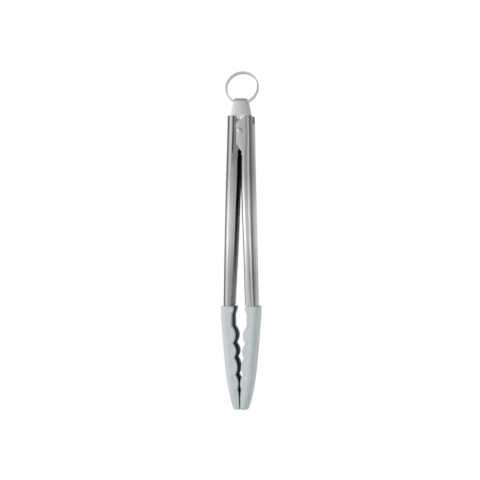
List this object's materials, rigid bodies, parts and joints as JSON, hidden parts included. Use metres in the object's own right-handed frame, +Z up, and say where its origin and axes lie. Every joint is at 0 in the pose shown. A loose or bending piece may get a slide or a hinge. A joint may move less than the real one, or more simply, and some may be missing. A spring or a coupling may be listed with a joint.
{
  "type": "kitchen tongs",
  "caption": "Spring loaded kitchen tongs: two steel channel arms with scalloped silicone heads, a sliding pull tab lock and a hanging ring.",
  "frame": {"origin": "highest point of the ring's inner face, at the middle of the band, where a hook carries the tongs", "axes": "+X is the way the right arm opens, +Y points away from the viewer along the pivot pin, +Z up along the closed tongs towards the ring"},
  "size_m": [0.0312, 0.0212, 0.2788],
  "materials": {
    "arm_steel": "stainless sheet brushed lengthwise",
    "tab_steel": "satin stainless sheet",
    "ring_steel": "polished stainless band",
    "pin_steel": "polished domed head",
    "spring_steel": "drawn wire",
    "rivet_steel": "plain",
    "nylon": "moulded, hidden inside the silicone",
    "silicone": "matte pale blue-grey silicone"
  },
  "bodies": {
    "hang_ring": {"hang_ring": "ring_steel"},
    "pull_tab": {"pull_tab": "tab_steel"},
    "pivot": {"pivot_pin": "pin_steel", "torsion_spring": "spring_steel"},
    "right_arm": {"right_arm": "arm_steel", "right_head_core": "nylon", "right_head_sleeve": "silicone", "right_head_rivet": "rivet_steel"},
    "left_arm": {"left_arm": "arm_steel", "left_head_core": "nylon", "left_head_sleeve": "silicone", "left_head_rivet": "rivet_steel"}
  },
  "joints": [
    {"name": "ring_swing", "type": "hinge", "parent": "hang_ring", "child": "pull_tab", "pos_m": [0, -0.00679, -0.02536], "axis": [1, 0, 0], "range_deg": [-115, 85]},
    {"name": "lock_slide", "type": "slide", "parent": "pull_tab", "child": "pivot", "axis": [0, 0, 1], "range_m": [0, 0.0107]},
    {"name": "right_arm_open", "type": "hinge", "parent": "pivot", "child": "right_arm", "pos_m": [0, -0.00679, -0.04844], "axis": [0, -1, 0], "range_deg": [0, 12], "stiffness_Nm_per_rad": 0.4, "springref_deg": 28.65, "deforming": ["torsion_spring"]},
    {"name": "left_arm_open", "type": "hinge", "parent": "pivot", "child": "left_arm", "pos_m": [0, -0.00679, -0.04844], "axis": [0, 1, 0], "range_deg": [0, 12], "stiffness_Nm_per_rad": 0.4, "springref_deg": 28.65}
  ],
  "couplings": [
    {"joint": "right_arm_open", "follows": "lock_slide", "rad_per_m": 19.57},
    {"joint": "left_arm_open", "follows": "lock_slide", "rad_per_m": 19.57}
  ]
}
